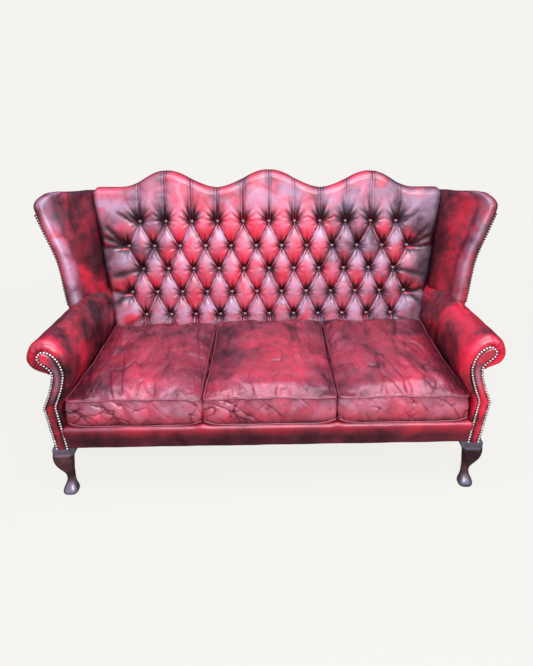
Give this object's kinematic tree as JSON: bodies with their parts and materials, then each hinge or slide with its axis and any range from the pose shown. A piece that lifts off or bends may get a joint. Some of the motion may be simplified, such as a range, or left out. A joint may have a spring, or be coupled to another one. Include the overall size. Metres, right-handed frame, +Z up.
{
  "type": "winged chesterfield sofa",
  "caption": "High-backed three-seat leather sofa with a deep-buttoned serpentine back, wings, scrolled arms, loose cushions and cabriole legs.",
  "frame": {"origin": "on the floor under the middle of the sofa, at the centre of its bounding box", "axes": "+Z up, +X to the right as one looks at the sofa from the front, and the seat faces -Y"},
  "size_m": [1.9238, 0.8366, 1.1228],
  "materials": {
    "polished_mahogany": "dark french-polished mahogany",
    "antique_nails": "antiqued domed heads, dull bronze with bright tops",
    "spring_steel": "zinc plated",
    "hessian": "open jute cloth",
    "jute_webbing": "woven jute strap",
    "black_cloth": "black spun cloth",
    "button_leather": "oxblood hide, polished",
    "cushion_leather": "oxblood hide with a rubbed antique finish and fine creases",
    "piping_leather": "oxblood hide over cord",
    "hide": "oxblood hide, hand-rubbed from bright red to near black",
    "platform_cloth": "dark lining cloth over felt",
    "beech_frame": "sawn and planed beech"
  },
  "bodies": {
    "sofa": {"arm_facing_left": "hide", "arm_facing_right": "hide", "arm_nails_left": "antique_nails", "arm_nails_right": "antique_nails", "arm_pad_left": "hide", "arm_pad_right": "hide", "arm_post_left": "beech_frame", "arm_post_right": "beech_frame", "arm_tack_rail_left": "beech_frame", "arm_tack_rail_right": "beech_frame", "arm_top_rail_left": "beech_frame", "arm_top_rail_right": "beech_frame", "back_buttons": "button_leather", "back_hessian": "hessian", "back_lower_rail": "beech_frame", "back_muntins": "beech_frame", "back_post_left": "beech_frame", "back_post_right": "beech_frame", "back_seat_rail": "beech_frame", "back_top_rail": "beech_frame", "back_webbing": "jute_webbing", "corner_blocks": "beech_frame", "dust_cover": "black_cloth", "front_leg_left": "polished_mahogany", "front_leg_right": "polished_mahogany", "front_rail_cover": "hide", "front_seat_rail": "beech_frame", "inside_back": "hide", "leg_bolts": "spring_steel", "outside_arm_panel_left": "hide", "outside_arm_panel_right": "hide", "outside_back_panel": "hide", "outside_wing_panel_left": "hide", "outside_wing_panel_right": "hide", "rear_leg_left": "polished_mahogany", "rear_leg_right": "polished_mahogany", "seat_platform": "platform_cloth", "seat_springs": "spring_steel", "seat_stretchers": "beech_frame", "side_seat_rail_left": "beech_frame", "side_seat_rail_right": "beech_frame", "spring_clips": "spring_steel", "spring_cloth": "hessian", "wing_nails_left": "antique_nails", "wing_nails_right": "antique_nails", "wing_pad_left": "hide", "wing_pad_right": "hide", "wing_post_left": "beech_frame", "wing_post_right": "beech_frame", "wing_top_rail_left": "beech_frame", "wing_top_rail_right": "beech_frame"},
    "cushion_left": {"seat_cushion_left": "cushion_leather", "cushion_piping_left": "piping_leather"},
    "cushion_centre": {"seat_cushion_centre": "cushion_leather", "cushion_piping_centre": "piping_leather"},
    "cushion_right": {"seat_cushion_right": "cushion_leather", "cushion_piping_right": "piping_leather"}
  },
  "joints": [
    {"name": "cushion_left_pull", "type": "slide", "parent": "sofa", "child": "cushion_left", "axis": [-0.0295, -0.9996, 0], "range_m": [0, 0.25]},
    {"name": "cushion_centre_pull", "type": "slide", "parent": "sofa", "child": "cushion_centre", "axis": [0, -1, 0], "range_m": [0, 0.25]},
    {"name": "cushion_right_pull", "type": "slide", "parent": "sofa", "child": "cushion_right", "axis": [0.0295, -0.9996, 0], "range_m": [0, 0.25]}
  ]
}
